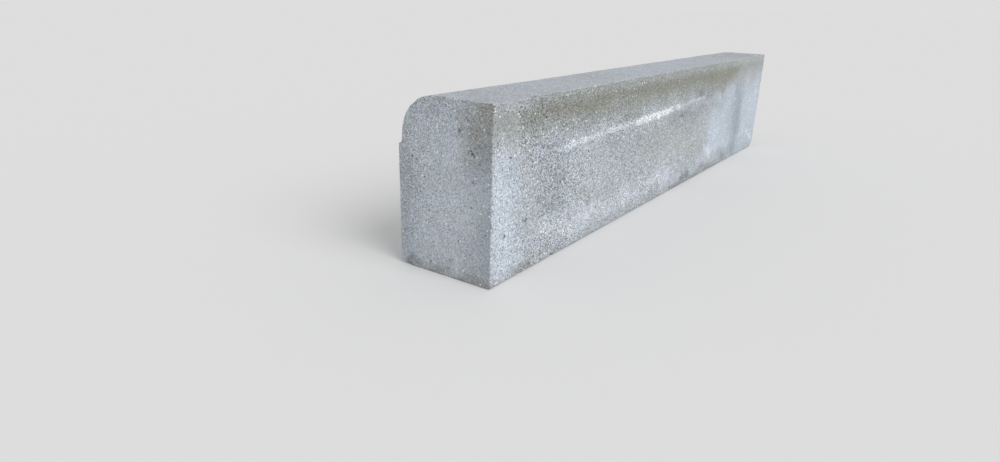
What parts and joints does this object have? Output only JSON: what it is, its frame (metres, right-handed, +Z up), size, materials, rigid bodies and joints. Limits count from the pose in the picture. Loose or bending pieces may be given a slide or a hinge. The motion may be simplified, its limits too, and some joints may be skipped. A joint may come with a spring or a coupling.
{
  "type": "concrete kerb stone",
  "caption": "Straight precast concrete kerb stone with an upright back, a leaning front head and a rounded top nose; laid end to end on a bed to edge a road or path.",
  "frame": {"origin": "centre of the underside, on the bed that the stone stands on", "axes": "+Z up, X along the stone's length, -Y towards the road side with the ledge and rounded nose, +Y towards the flat back"},
  "size_m": [1, 0.13, 0.2],
  "materials": {
    "concrete": "weathered grey pressed concrete, fine sandy grain with small pits, matte"
  },
  "bodies": {
    "root": {"kerb_stone": "concrete"}
  },
  "joints": []
}
